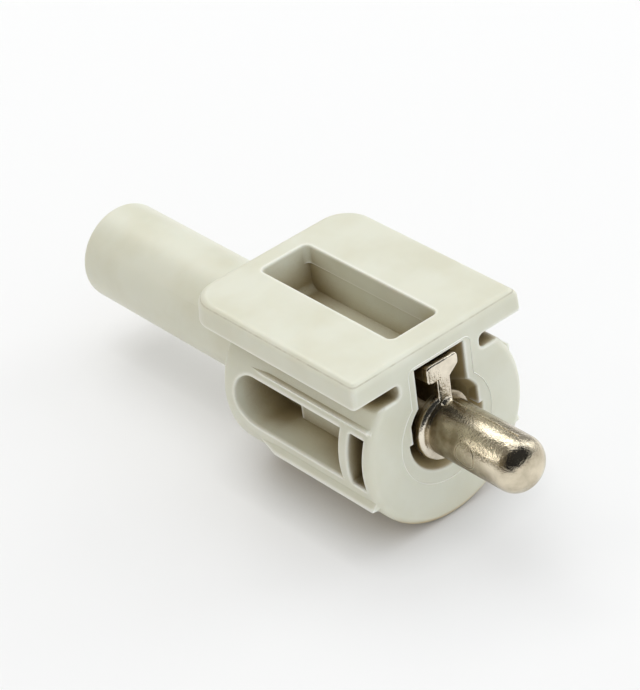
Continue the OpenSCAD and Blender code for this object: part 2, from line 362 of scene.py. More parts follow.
    def cleaned(self) -> "Solid":
        """Merges doubled points, makes flat faces whole and splits the ones that aren't.

        Returns:
            The same solid.
        """
        bmesh.ops.remove_doubles(self.mesh, verts=self.mesh.verts[:], dist=self.doubled_gap)
        bmesh.ops.dissolve_degenerate(self.mesh, dist=self.shortest_edge,
                                      edges=self.mesh.edges[:])
        bmesh.ops.dissolve_limit(self.mesh, angle_limit=self.flat_turn,
                                 verts=self.mesh.verts[:], edges=self.mesh.edges[:])
        folds = [vert for vert in self.mesh.verts
                 if len(vert.link_edges) == 2 and vert.calc_edge_angle(0) > self.fold_turn]
        bmesh.ops.dissolve_verts(self.mesh, verts=folds)
        bmesh.ops.connect_verts_nonplanar(self.mesh, angle_limit=self.bent_turn,
                                          faces=self.mesh.faces[:])
        return self

    def doubled(self) -> "Solid":
        """Completes a half on +X with its mirror image.

        Returns:
            The same solid.
        """
        for vert in self.mesh.verts:
            if abs(vert.co.x) < self.middle_gap:
                vert.co.x = 0
        every = self.mesh.verts[:] + self.mesh.edges[:] + self.mesh.faces[:]
        bmesh.ops.mirror(self.mesh, geom=every, axis="X", merge_dist=TINY)
        bmesh.ops.recalc_face_normals(self.mesh, faces=self.mesh.faces[:])
        return self

    def piece(self, name: str, crease: float) -> bpy.types.Object:
        """Makes the finished piece in metres, shaded smooth up to an angle.

        Args:
            name: The piece's name.
            crease: The angle in degrees past which an edge stays sharp.

        Returns:
            The piece's object, at the origin.
        """
        bmesh.ops.scale(self.mesh, vec=(MM, MM, MM), verts=self.mesh.verts[:])
        for face in self.mesh.faces:
            face.smooth = True
        thing = self.as_object(name)
        thing.data.set_sharp_from_angle(angle=math.radians(crease))
        weighted = thing.modifiers.new("face_normals", "WEIGHTED_NORMAL")
        weighted.keep_sharp = True
        weighted.weight = self.face_weight
        return thing


# ---------------------------------------------------------------- finishes

class Shader:
    """Builds a node tree, one node at a time.

    Args:
        tree: The node tree of a material, a world or a group.
    """

    def __init__(self, tree: bpy.types.NodeTree) -> None:
        """Keeps the tree."""
        self.tree = tree

    @classmethod
    def emptied(cls, owner: bpy.types.Material | bpy.types.World) -> "Shader":
        """Starts the look of a material or a world.

        Args:
            owner: The material or the world.

        Returns:
            The builder of its node tree, which is empty.
        """
        owner.use_nodes = True
        owner.node_tree.nodes.clear()
        return cls(owner.node_tree)

    def node(self, kind: str, **values: object) -> bpy.types.Node:
        """Adds a node and sets its properties and inputs.

        Args:
            kind: The node's type name.
            values: Properties by name, and inputs by name with spaces as underscores or by
                number after an underscore. A socket as a value is linked.

        Returns:
            The new node.
        """
        made = self.tree.nodes.new(kind)
        inputs = {}
        for name, value in values.items():
            if name in made.bl_rna.properties:
                setattr(made, name, value)
            else:
                inputs[name] = value
        for name, value in inputs.items():
            if name[0] == "_":
                socket = made.inputs[int(name[1:])]
            else:
                socket = made.inputs[name.replace("_", " ")]
            if isinstance(value, bpy.types.NodeSocket):
                self.tree.links.new(value, socket)
            else:
                socket.default_value = value
        return made

    def noise(self, place: bpy.types.NodeSocket, scale: float, detail: float
              ) -> bpy.types.NodeSocket:
        """Adds cloudy noise around 0.5, with its clouds in a metre and its finer layers."""
        made = self.node("ShaderNodeTexNoise", Vector=place, Scale=scale, Detail=detail)
        return made.outputs["Fac"]

    def ranged(self, value: bpy.types.NodeSocket, given: Point, wanted: Point
               ) -> bpy.types.NodeSocket:
        """Maps a range of values to another one, and holds what lies outside at its ends.

        Args:
            value: The value.
            given: The two ends of its range.
            wanted: What each end becomes.

        Returns:
            The mapped value.
        """
        made = self.node("ShaderNodeMapRange", Value=value, From_Min=given[0],
                         From_Max=given[1], To_Min=wanted[0], To_Max=wanted[1])
        return made.outputs["Result"]

    def sum(self, operation: str, *values: bpy.types.NodeSocket | float, clamp: bool = False
            ) -> bpy.types.NodeSocket:
        """Works out a number from others.

        Args:
            operation: The operation's name.
            values: The numbers, or the sockets that give them.
            clamp: Whether the result is held between 0 and 1.

        Returns:
            The result.
        """
        inputs = {f"_{index}": value for index, value in enumerate(values)}
        made = self.node("ShaderNodeMath", operation=operation, use_clamp=clamp, **inputs)
        return made.outputs["Value"]

    def mix(self, share: bpy.types.NodeSocket, first: bpy.types.NodeSocket | Colour,
            second: bpy.types.NodeSocket | Colour) -> bpy.types.NodeSocket:
        """Mixes two colours.

        Args:
            share: The share of the second colour.
            first: The first colour, or the socket that gives it.
            second: The second colour, or the socket that gives it.

        Returns:
            The mixed colour.
        """
        pair = [value if isinstance(value, bpy.types.NodeSocket) else (*value, 1)
                for value in (first, second)]
        made = self.node("ShaderNodeMix", data_type="RGBA", _0=share, _6=pair[0], _7=pair[1])
        return made.outputs[2]

    def ramp(self, value: bpy.types.NodeSocket, stops: list[tuple[float, Colour]]
             ) -> bpy.types.NodeSocket:
        """Adds a colour ramp.

        Args:
            value: The value that picks the colour.
            stops: Positions and colours, in order.

        Returns:
            The ramp's colour.
        """
        made = self.node("ShaderNodeValToRGB", Fac=value)
        elements = made.color_ramp.elements
        while len(elements) < len(stops):
            elements.new(1)
        for element, (position, colour) in zip(elements, stops):
            element.position = position
            element.color = (*colour, 1)
        return made.outputs["Color"]


class PaintedLight:
    """The shared node group that finds hollows, deep places and outer edges, where shade and
    highlight are painted.

    Each mask has the way it feels for surfaces, its reach, and the openness at its two ends.
    """

    name = "relief"
    masks = {
        "Hollow": ({}, "Hollow Reach", (0.05, 0.63)),
        "Deep": ({"only_local": True}, "Hollow Reach", (0.05, 0.56)),
        "Edge": ({"only_local": True, "inside": True}, "Edge Reach", (0.6, 0.93))}

    @classmethod
    def tree(cls) -> bpy.types.NodeTree:
        """Gives the group's tree.

        Returns:
            The tree, which is built at its first use.
        """
        known = bpy.data.node_groups.get(cls.name)
        if known:
            return known
        made = bpy.data.node_groups.new(cls.name, "ShaderNodeTree")
        for name in ("Hollow Reach", "Edge Reach"):
            made.interface.new_socket(name=name, in_out="INPUT", socket_type="NodeSocketFloat")
        for name in cls.masks:
            made.interface.new_socket(name=name, in_out="OUTPUT", socket_type="NodeSocketFloat")
        build = Shader(made)
        given = build.node("NodeGroupInput").outputs
        out = build.node("NodeGroupOutput")
        for name, (way, reach, openness) in cls.masks.items():
            felt = build.node("ShaderNodeAmbientOcclusion", samples=FEELERS,
                              Distance=given[reach], **way)
            mask = build.ranged(felt.outputs["AO"], openness, (1.0, 0.0))
            made.links.new(mask, out.inputs[name])
        return made

    @classmethod
    def on(cls, build: Shader, hollow_reach: float, edge_reach: float
           ) -> bpy.types.bpy_prop_collection:
        """Places the group in a material, with its reaches in metres, and gives its outputs."""
        return build.node("ShaderNodeGroup", node_tree=cls.tree(), Hollow_Reach=hollow_reach,
                          Edge_Reach=edge_reach).outputs


@dataclass(frozen=True)
class MouldedPlastic:
    """Satin light grey nylon with a faint mottling, a fine grain, painted shade in hollows and
    painted highlight on edges.

    Its lengths are metres, as the place on a piece is.
    """

    name: str = "moulded_plastic"
    colour: Colour = (0.74, 0.74, 0.62)
    shade: Colour = (0.695, 0.685, 0.55)
    # Painted shade: hollow tints hollows and corners warm brown, depth tints deep places near
    # black.
    hollow: Colour = (0.52, 0.38, 0.15)
    depth: Colour = (0.045, 0.028, 0.01)
    # Painted highlight: edge tints the outer edges and rims paler.
    edge: Colour = (0.95, 0.945, 0.87)
    # The darker colour of the parting line round the plate.
    parting_line_colour: Colour = (0.5, 0.47, 0.36)
    hollow_reach: float = 0.0055
    edge_reach: float = 0.00042
    cloud_scale: float = 190.0
    grain_scale: float = 5200.0
    grain_depth: float = 0.00002
    broken_scale: float = 1500.0
    parting: tuple[float, float] = (0.00899, 0.00006)
    plate_centre: float = 0.0108
    plate_half: tuple[float, float] = (0.004, 0.0097)
    roughness: float = 0.36
    smoother: float = 0.05
    rougher: float = 0.08
    soft_weight: float = 0.12
    soft_radius: Place = (0.0008, 0.0006, 0.0004)

    def material(self) -> bpy.types.Material:
        """Builds the material.

        Returns:
            The material.
        """
        made = bpy.data.materials.new(self.name)
        build = Shader.emptied(made)
        place = build.node("ShaderNodeTexCoord").outputs["Object"]
        cloud = build.noise(place, self.cloud_scale, 3.0)
        colour = build.ramp(cloud, [(0.32, self.shade), (0.58, self.colour)])
        relief = PaintedLight.on(build, self.hollow_reach, self.edge_reach)
        # Painted shade: hollows turn warm brown and deep places near black, where surfaces lie
        # close by.
        hollow = build.ranged(relief["Hollow"], (0.0, 0.6), (0.0, 0.9))
        colour = build.mix(hollow, colour, self.hollow)
        colour = build.mix(relief["Deep"], colour, self.depth)
        # Painted highlight: outer edges and rims are tinted paler.
        colour = build.mix(relief["Edge"], colour, self.edge)
        flash = self.flash(build, place)
        colour = build.mix(flash, colour, self.parting_line_colour)
        grain = build.noise(place, self.grain_scale, 2.0)
        height = build.sum("ADD", grain, flash)
        bump = build.node("ShaderNodeBump", Strength=0.14, Distance=self.grain_depth,
                          Height=height)
        worn = build.ranged(cloud, (0.3, 0.7),
                            (self.roughness - self.smoother, self.roughness + self.rougher))
        shader = build.node("ShaderNodeBsdfPrincipled", Base_Color=colour, Roughness=worn,
                            Normal=bump.outputs["Normal"], IOR=1.5,
                            Subsurface_Weight=self.soft_weight,
                            Subsurface_Radius=self.soft_radius, Subsurface_Scale=1.0)
        build.node("ShaderNodeOutputMaterial", Surface=shader.outputs["BSDF"])
        return made

    def flash(self, build: Shader, place: bpy.types.NodeSocket) -> bpy.types.NodeSocket:
        """Adds the uneven parting line round the top of the cover plate's side.

        Args:
            build: The material's builder.
            place: The place on the piece.

        Returns:
            The line's mask, which leaves out the slot in the plate's middle.
        """
        level, width = self.parting
        half_width, half_length = self.plate_half
        off = build.node("ShaderNodeVectorMath", operation="SUBTRACT", _0=place,
                         _1=(0, self.plate_centre, level))
        off = build.node("ShaderNodeVectorMath", operation="ABSOLUTE", _0=off.outputs["Vector"])
        off = build.node("ShaderNodeSeparateXYZ", Vector=off.outputs["Vector"]).outputs
        line = build.ranged(off["Z"], (width / 2, width), (1.0, 0.0))
        side = build.sum("GREATER_THAN", off["X"], half_width)
        end = build.sum("GREATER_THAN", off["Y"], half_length)
        outer = build.sum("MAXIMUM", side, end)
        broken = build.noise(place, self.broken_scale, 3.0)
        broken = build.ranged(broken, (0.35, 0.65), (0.3, 0.75))
        return build.sum("MULTIPLY", line, build.sum("MULTIPLY", outer, broken))


@dataclass(frozen=True)
class PlatedCasting:
    """Warm nickel plating over a tumbled zinc casting, brown and dull at the root of the pin.

    Painted shade browns the pin's underside and darkens its hollows; its lengths are metres, as the
    place on a piece is.
    """

    name: str = "plated_casting"
    colour: Colour = (0.77, 0.69, 0.535)
    # A paler plated colour behind the pin's front: the collar, the tab and the parts inside.
    collar_and_tab_colour: Colour = (0.9, 0.83, 0.7)
    # Brown where the plating has tarnished towards the pin's root, and painted shade browning its
    # underside.
    brown: Colour = (0.165, 0.119, 0.054)
    # Painted shade: dark tints the metal's hollows near black.
    dark: Colour = (0.03, 0.018, 0.008)
    root: tuple[float, float] = (-0.0096, -0.0026)
    # Along +Y the brown grows as tarnished plating near the root; along -Z as painted shade below.
    tarnish_and_shade_lean: Place = (0, 1, -1.5)
    collar: tuple[float, float] = (-0.0006, -0.0003)
    inner: tuple[float, float] = (-0.0002, 0.0005)
    brown_share: tuple[float, float] = (0.2, 0.9)
    wave_stretch: Place = (1, 0.25, 1)
    wave_scale: float = 620.0
    wave_height: float = 4.2
    lump_scale: float = 4600.0
    grit_scale: float = 11000.0
    grit_height: float = 0.4
    cast_depth: float = 0.0001
    patch_scale: float = 480.0
    patch_share: tuple[float, float] = (-0.22, 0.22)
    hollow_reach: float = 0.0018
    edge_reach: float = 0.0002
    roughness: tuple[float, float] = (0.11, 0.36)

    def material(self) -> bpy.types.Material:
        """Builds the material.

        Returns:
            The material.
        """
        made = bpy.data.materials.new(self.name)
        build = Shader.emptied(made)
        place = build.node("ShaderNodeTexCoord").outputs["Object"]
        pin, share = self.tarnish_and_underside_shade(build, place)
        colour = build.mix(pin, self.collar_and_tab_colour, self.colour)
        colour = build.mix(share, colour, self.brown)
        relief = PaintedLight.on(build, self.hollow_reach, self.edge_reach)
        # Painted shade: hollows are darkened near black.
        colour = build.mix(relief["Hollow"], colour, self.dark)
        colour = build.mix(relief["Edge"], colour, self.colour)
        rough = build.ranged(share, (0.0, self.brown_share[1]), self.roughness)
        shader = build.node("ShaderNodeBsdfPrincipled", Base_Color=colour, Metallic=1.0,
                            Roughness=rough, Normal=self.cast_skin(build, place))
        build.node("ShaderNodeOutputMaterial", Surface=shader.outputs["BSDF"])
        return made

    def cast_skin(self, build: Shader, place: bpy.types.NodeSocket) -> bpy.types.NodeSocket:
        """Adds the casting's uneven skin: long waves, lumps and grit.

        Args:
            build: The material's builder.
            place: The place on the piece.

        Returns:
            The skin's normal.
        """
        length = build.node("ShaderNodeMapping", Vector=place, Scale=self.wave_stretch)
        waves = build.noise(length.outputs["Vector"], self.wave_scale, 2.0)
        lumps = build.noise(place, self.lump_scale, 3.0)
        grit = build.noise(place, self.grit_scale, 2.0)
        height = build.sum("MULTIPLY_ADD", waves, self.wave_height, lumps)
        height = build.sum("MULTIPLY_ADD", grit, self.grit_height, height)
        bump = build.node("ShaderNodeBump", Strength=0.35, Distance=self.cast_depth,
                          Height=height)
        return bump.outputs["Normal"]

    def tarnish_and_underside_shade(self, build: Shader, place: bpy.types.NodeSocket
                ) -> tuple[bpy.types.NodeSocket, bpy.types.NodeSocket]:
        """Adds the masks of the plating's brown, dull root and of the painted shade on the pin's
        underside.

        Args:
            build: The material's builder.
            place: The place on the piece.

        Returns:
            The mask of the pin in front of the collar, and the share of brown.
        """
        along = build.node("ShaderNodeSeparateXYZ", Vector=place).outputs["Y"]
        leaning = build.node("ShaderNodeVectorMath", operation="DOT_PRODUCT", _0=place,
                             _1=self.tarnish_and_shade_lean).outputs["Value"]
        # Brown rises towards the root where the plating has tarnished, and towards the underside as
        # painted shade.
        brown = build.ranged(leaning, self.root, self.brown_share)
        pin = build.ranged(along, self.collar, (1.0, 0.1))
        outer = build.sum("MULTIPLY", brown, pin)
        inner = build.ranged(along, self.inner, (0.0, self.brown_share[1]))
        dull = build.sum("MAXIMUM", outer, inner)
        patch = build.noise(place, self.patch_scale, 5.0)
        patches = build.ranged(patch, (0.35, 0.65), self.patch_share)
        return pin, build.sum("ADD", dull, patches, clamp=True)


@dataclass(frozen=True)
class SpringWire:
    """Drawn steel wire with fine lines along the coil."""

    name: str = "spring_wire"
    colour: Colour = (0.55, 0.55, 0.54)
    line_shade: float = 0.7
    line_scale: float = 2500.0
    roughness: tuple[float, float] = (0.25, 0.45)

    def material(self) -> bpy.types.Material:
        """Builds the material.

        Returns:
            The material.
        """
        made = bpy.data.materials.new(self.name)
        build = Shader.emptied(made)
        place = build.node("ShaderNodeTexCoord").outputs["Object"]
        lines = build.noise(place, self.line_scale, 2.0)
        dark = tuple(self.line_shade * value for value in self.colour)
        colour = build.ramp(lines, [(0.35, dark), (0.65, self.colour)])
        rough = build.ranged(lines, (0.0, 1.0), self.roughness)
        shader = build.node("ShaderNodeBsdfPrincipled", Base_Color=colour, Metallic=1.0,
                            Roughness=rough)
        build.node("ShaderNodeOutputMaterial", Surface=shader.outputs["BSDF"])
        return made


# ----------------------------------------------------------------- housing

@dataclass
class Housing:
    """The moulded housing: barrel, web, cover plate and stem, with its openings."""

    low: Vector = field(default_factory=lambda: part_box("housing")[0] / MM)
    high: Vector = field(default_factory=lambda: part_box("housing")[1] / MM)
    barrel_length: float = 18.8
    front_round: float = 0.65
    rear_round: float = 0.6
    shoulder: float = 1.4
    upper_rib: tuple[float, float, float] = (26.0, 0.3, 0.6)
    lower_rib: tuple[float, float, float] = (-25.0, 0.65, 1.0)
    rib_stations: tuple[float, float, float, float] = (0.25, 0.55, 13.05, 15.65)
    rib_sink: float = 0.04
    stem_radius: float = 4.6
    stem_round: float = 0.55
    plate_thickness: float = 2.25
    plate_length: float = 21.6
    plate_draft: float = 0.15
    plate_edge: float = 0.75
    plate_rear_corner: float = 3.0
    plate_front_corner: float = 0.4
    plate_corner_turn: float = 0.6
    web_width: float = 8.9
    web_length: float = 20.4
    web_sink: float = 0.4
    foot_width: float = 7.8
    groove: float = 1.35
    groove_corner: float = 0.5
    guide_rise: float = 0.55
    guide_radius: float = 3.3
    mouth_radius: float = 4.1
    mouth_length: float = 2.5
    mouth_width: float = 7.35
    bead: tuple[float, float, float] = (11.18, 0.6, 2.4)
    spring_bore: float = 2.9
    stem_floor: float = 1.6
    slot_width: float = 5.2
    slot_front: float = 2.65
    slot_end: float = 19.2
    slot_corner: float = 0.55
    channel_width: float = 5.4
    channel_top: float = 7.4
    ledge_top: float = 4.6
    ledge_start: float = 5.2
    slit_width: float = 2.0
    slit_end: float = 15.65
    channel_round: float = 0.8
    pocket_height: float = 4.9
    small_pocket: tuple[float, float, float, float] = (0.95, 2.7, 5.1, 0.22)
    large_pocket: tuple[float, float, float, float] = (3.85, 17.2, 5.1, 2.2)
    deep_pocket: tuple[float, float, float, float] = (12.8, 17.2, 4.2, 2.2)
    soft_edge: float = 0.15
    rim_turn: float = 50.0
    rim_gap: float = 0.03
    bore_overlap: float = 0.05
    cut_step: float = 0.01
    insert: tuple[float, float, float, float, float] = (5.05, 0.2, 3.45, 7.75, 0.7)
    line_width: float = 0.12
    line_height: float = 0.07
    barrel_steps: int = 128
    mouth_steps: int = 24
    line_steps: int = 36
    crease: float = 36.0

    @property
    def barrel_radius(self) -> float:
        """The barrel's radius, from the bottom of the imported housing."""
        return -self.low.z

    @property
    def plate_bottom(self) -> float:
        """The height of the plate's underside."""
        return self.high.z - self.plate_thickness

    @property
    def groove_floor(self) -> float:
        """The height of the flat on the barrel, below the groove."""
        return self.plate_bottom - self.groove

    def groove_outline(self, out: float) -> list[Point]:
        """Gives the outline of the groove on the +X side, with the barrel's soft shoulder.

        Args:
            out: How far the outline is moved outwards, into the plastic.

        Returns:
            The outline's points.
        """
        radius = self.barrel_radius
        soft = self.shoulder
        floor = self.groove_floor
        side = math.sqrt((radius - soft) ** 2 - (floor - soft) ** 2)
        turn = math.atan2(floor - soft, side)
        start = Vector((math.cos(turn), math.sin(turn)))
        far = (radius + 2 * OVER) * start
        corner = self.groove_corner
        edge = self.web_width / 2 + corner
        outline = [tuple(far)]
        outline += arc((side, floor - soft), soft - out, math.degrees(turn), 90, ROUND_STEPS)
        outline += arc((edge, floor + corner), corner + out, -90, -180, CORNER_STEPS)
        outline += arc((edge, self.plate_bottom - corner), corner + out, 180, 90, CORNER_STEPS)
        outline += [(far.x, self.plate_bottom + out)]
        return outline

    def groove_cutter(self) -> Solid:
        """Builds the cutter of the groove on the +X side, with a soft lip at the front.

        Returns:
            The cutter.
        """
        stations = [(self.barrel_length + OVER, 0)] + lip(self.soft_edge, LIP_STEPS)
        stations += [(-OVER, self.soft_edge)]
        return Solid.lofted([[Vector((x, y, z)) for x, z in self.groove_outline(out)]
                             for y, out in stations])

    def barrel(self) -> Solid:
        """Builds the barrel with its rounded ends.

        Returns:
            The barrel.
        """
        radius = self.barrel_radius
        front = arc((self.front_round, radius - self.front_round), self.front_round, 180, 90,
                    CORNER_STEPS)
        rear = arc((self.barrel_length - self.rear_round, radius - self.rear_round),
                   self.rear_round, 90, 0, CORNER_STEPS)
        profile = [(0, 0)] + front + rear + [(self.barrel_length, 0)]
        return Solid.turned(profile, 0, self.barrel_steps)

    def web_front(self) -> Solid:
        """Builds the block that fills the web out to the front face.

        Returns:
            The block.
        """
        half = self.web_width / 2 + self.groove_corner
        return Solid.block((-half, 0, self.groove_floor - OVER / 2),
                           (half, OVER, self.plate_bottom + OVER / 3))

    def plate(self) -> Solid:
        """Builds the cover plate with its drafted sides, round corners and soft top edge.

        Returns:
            The plate.
        """
        half = self.high.x
        made = Solid.block((-half, 0, self.plate_bottom),
                           (half, self.plate_length, self.high.z))
        for vert in made.mesh.verts:
            if vert.co.z > self.plate_bottom + TINY:
                vert.co.x -= math.copysign(self.plate_draft, vert.co.x)
                vert.co.y -= self.plate_draft if vert.co.y > TINY else 0
        made.rounded(lambda e: rises(e) > OVER and e.verts[0].co.y > OVER,
                     self.plate_rear_corner, WIDE_STEPS)
        made.rounded(lambda e: min(v.co.z for v in e.verts) > self.high.z - TINY,
                     self.plate_edge, CORNER_STEPS)
        flank = half - 3 * self.plate_draft - self.plate_edge
        made.rounded(lambda e: rises(e) > TINY and abs(e.verts[0].co.x) > flank
                     and max(v.co.y for v in e.verts) < self.plate_edge + TINY
                     and e.calc_face_angle(0) > self.plate_corner_turn,
                     self.plate_front_corner, SMALL_STEPS)
        return made.rounded(lambda e: max(v.co.z for v in e.verts) < self.plate_bottom + TINY,
                            self.soft_edge, LIP_STEPS)

    def stem(self) -> Solid:
        """Builds the plain round stem with its softly rounded end.

        Returns:
            The stem.
        """
        end = self.high.y
        rim = arc((end - self.stem_round, self.stem_radius - self.stem_round),
                  self.stem_round, 90, 0, CORNER_STEPS)
        start = self.barrel_length - OVER
        return Solid.turned([(start, 0), (start, self.stem_radius)] + rim + [(end, 0)], 0)

    def web_end(self) -> Solid:
        """Builds the end of the web behind the barrel, which stands on the stem.

        Returns:
            The web's end.
        """
        half = self.web_width / 2
        corner = self.groove_corner
        top = self.plate_bottom + self.web_sink
        upper = arc((half + corner, self.plate_bottom - corner), corner, 180, 90, CORNER_STEPS)
        right = [(0, self.groove_floor), (half, self.groove_floor)] + upper
        right += [(half + corner, top), (0, top)]
        ears = Solid.extruded(both_sides(right)[:-1], self.barrel_length - OVER,
                              self.web_length, Axis.Y)
        foot = self.foot_width / 2
        block = Solid.block((-foot, self.barrel_length - OVER, 0),
                            (foot, self.web_length, self.groove_floor + OVER / 2))
        return ears.mixed(Mix.JOIN, block)

    def rib(self, height: float, width: float) -> Solid:
        """Builds one crush rib on the +X side: a low wedge that rises and falls away.

        Args:
            height: How far its tip stands out of the barrel.
            width: Half its width at the foot.

        Returns:
            The rib, with its foot inside the barrel.
        """
        radius = self.barrel_radius
        foot = radius - height
        heights = (-self.rib_sink, height, height, -self.rib_sink)
        return Solid.lofted([[Vector((foot, y, -width)), Vector((radius + rise, y, 0)),
                              Vector((foot, y, width))]
                             for y, rise in zip(self.rib_stations, heights)])

    def ribs(self) -> list[Solid]:
        """Builds the four crush ribs in their places.

        Returns:
            The ribs.
        """
        made = []
        for angle, height, width in (self.upper_rib, self.lower_rib):
            right = self.rib(height, width).turned_about_y(angle)
            made += [right, right.mirrored()]
        return made

    def keyhole_outline(self, radius: float, out: float) -> list[Point]:
        """Gives the keyhole's outline.

        Args:
            radius: The radius of its round part.
            out: How far the outline is moved outwards, into the plastic.

        Returns:
            The outline's points.
        """
        radius += out
        rise = self.guide_rise
        half = min(self.mouth_width / 2, radius - out) + out
        neck = self.channel_width / 2 + out
        top = self.channel_top + out
        ledge = math.degrees(math.asin(out / radius))
        side = math.degrees(math.acos(half / radius))
        shoulder = math.degrees(math.acos(neck / radius))
        right = arc((0, rise), radius, -90, ledge, self.mouth_steps)
        right += [(half, rise + out)]
        right += arc((0, rise), radius, side, shoulder, CORNER_STEPS)
        right += [(neck, top), (0, top)]
        return both_sides(right)

    def keyhole(self) -> Solid:
        """Builds the cutter of the keyhole's mouth, which narrows inwards.

        Returns:
            The cutter.
        """
        slope = (self.mouth_radius - self.guide_radius) / self.mouth_length
        end = (self.mouth_radius - self.mouth_width / 2 - TINY) / slope
        stations = [(end + (self.soft_edge - end) * i / CORNER_STEPS, 0)
                    for i in range(CORNER_STEPS)]
        stations += lip(self.soft_edge, LIP_STEPS) + [(-OVER, self.soft_edge)]
        return Solid.lofted([[Vector((x, y, z)) for x, z in
                              self.keyhole_outline(self.mouth_radius - slope * max(y, 0), out)]
                             for y, out in stations])

    def bores(self) -> list[Solid]:
        """Builds the cutters of the keyhole's mouth, the guide bore and the spring bore.

        Returns:
            The cutters.
        """
        slope = (self.mouth_radius - self.guide_radius) / self.mouth_length
        start = (self.mouth_radius - self.mouth_width / 2) / slope
        y, width, bead = self.bead
        seat = self.high.y - self.stem_floor
        front = start - self.bore_overlap
        steps = [(front, 0), (front, self.guide_radius), (start, self.mouth_width / 2),
                 (self.mouth_length, self.guide_radius),
                 (y, self.guide_radius), (y, bead), (y + width, bead),
                 (y + width, self.spring_bore), (seat, self.spring_bore), (seat, 0)]
        return [self.keyhole(), Solid.turned(steps, self.guide_rise)]

    def channel(self) -> list[Solid]:
        """Builds the cutters of the keyhole's upper part, the head's tunnel and the slot.

        Returns:
            The cutters.
        """
        half = self.channel_width / 2
        side = [(OVER, self.guide_rise), (self.ledge_start, self.guide_rise),
                (self.ledge_start, self.ledge_top)]
        side += arc((self.slot_end - self.channel_round, self.ledge_top + self.channel_round),
                    self.channel_round, -90, 0, CORNER_STEPS)
        side += [(self.slot_end, self.channel_top), (OVER, self.channel_top)]
        tunnel = Solid.extruded(side, -half, half, Axis.X)
        slit = Solid.block((-self.slit_width / 2, OVER, self.guide_rise),
                           (self.slit_width / 2, self.slit_end, self.channel_top - self.cut_step))
        return [tunnel, slit, self.slot()]

    def slot(self) -> Solid:
        """Builds the cutter of the long slot in the plate, with a soft lip at the top.

        Returns:
            The cutter.
        """
        soft = self.slot_corner
        wide = self.slot_width / 2 - soft
        far = self.slot_end - soft
        near = self.slot_front + soft
        stations = [(self.high.z - self.channel_top + self.cut_step, 0)]
        stations += lip(self.soft_edge, LIP_STEPS) + [(-OVER, self.soft_edge)]
        loops = []
        for depth, out in stations:
            right = arc((wide, near), soft + out, -90, 0, SMALL_STEPS)
            right += arc((wide, far), soft + out, 0, 90, SMALL_STEPS)
            outline = right + [(-x, y) for x, y in reversed(right)]
            loops.append([Vector((x, y, self.high.z - depth)) for x, y in outline])
        return Solid.lofted(loops)

    def witness(self) -> Solid:
        """Builds the fine ridge that the mould's insert leaves on the front.

        Returns:
            The ridge, a closed ring.
        """
        radius, rise, half, top, soft = self.insert
        loops = []
        for out, y in ((self.line_width, self.line_width), (0, -self.line_height),
                       (-self.line_width, self.line_width)):
            turn = math.degrees(math.acos((half + out) / (radius + out)))
            right = arc((0, rise), radius + out, -90, turn, self.line_steps)
            right += arc((half - soft, top - soft), soft + out, 0, 90, CORNER_STEPS)
            right += [(0, top + out)]
            loops.append([Vector((x, y, z)) for x, z in both_sides(right)])
        return Solid.lofted(loops, ring=True)

    def pocket(self, size: tuple[float, float, float, float]) -> Solid:
        """Builds the cutter of one side pocket on the +X side.

        Args:
            size: Its start, its end, the depth of its back wall and its rear corners' radius.

        Returns:
            The cutter.
        """
        start, end, depth, corner = size
        half = self.pocket_height / 2
        low = self.guide_rise - half
        high = self.guide_rise + half
        side = [(start, low)] + arc((end - corner, low + corner), corner, -90, 0, ROUND_STEPS)
        side += arc((end - corner, high - corner), corner, 0, 90, ROUND_STEPS) + [(start, high)]
        return Solid.extruded(side, depth, self.barrel_radius + 2 * OVER, Axis.X)

    def pockets(self) -> list[Solid]:
        """Builds the cutters of the pockets on both sides.

        Returns:
            The cutters.
        """
        right = [self.pocket(size) for size in
                 (self.small_pocket, self.large_pocket, self.deep_pocket)]
        return right + [cutter.mirrored() for cutter in right]

    def is_rim(self, edge: bmesh.types.BMEdge) -> bool:
        """Says whether an edge is on the rim of a pocket, where it opens in the barrel.

        Args:
            edge: An edge of the body.

        Returns:
            Whether it is sharp, on the barrel's surface and as high as the pockets are.
        """
        if not edge.is_manifold or edge.calc_face_angle_signed(0) < math.radians(self.rim_turn):
            return False
        reach = self.pocket_height / 2 + TINY
        ends = [vert.co for vert in edge.verts]
        outside = all(abs(math.hypot(end.x, end.z) - self.barrel_radius) < self.rim_gap
                      for end in ends)
        return outside and all(abs(end.z - self.guide_rise) < reach for end in ends)

    def build(self) -> bpy.types.Object:
        """Builds the whole housing and dresses it.

        Returns:
            The piece, riding on the housing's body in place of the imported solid.
        """
        body = self.barrel().mixed(Mix.JOIN, self.web_front())
        body.mixed(Mix.CUT, self.groove_cutter(), self.groove_cutter().mirrored())
        body.mixed(Mix.JOIN, self.web_end(), self.stem(), *self.ribs(), self.plate(),
                   self.witness())
        body.mixed(Mix.CUT, *self.pockets(), *self.bores(), *self.channel())
        body.halved().rounded(self.is_rim, self.soft_edge, LIP_STEPS).doubled()
        made = body.piece("moulded_housing", self.crease)
        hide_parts("housing")
        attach(made, "housing")
        made.data.materials.append(MouldedPlastic().material())
        return made


# ----------------------------------------------------------------- plunger

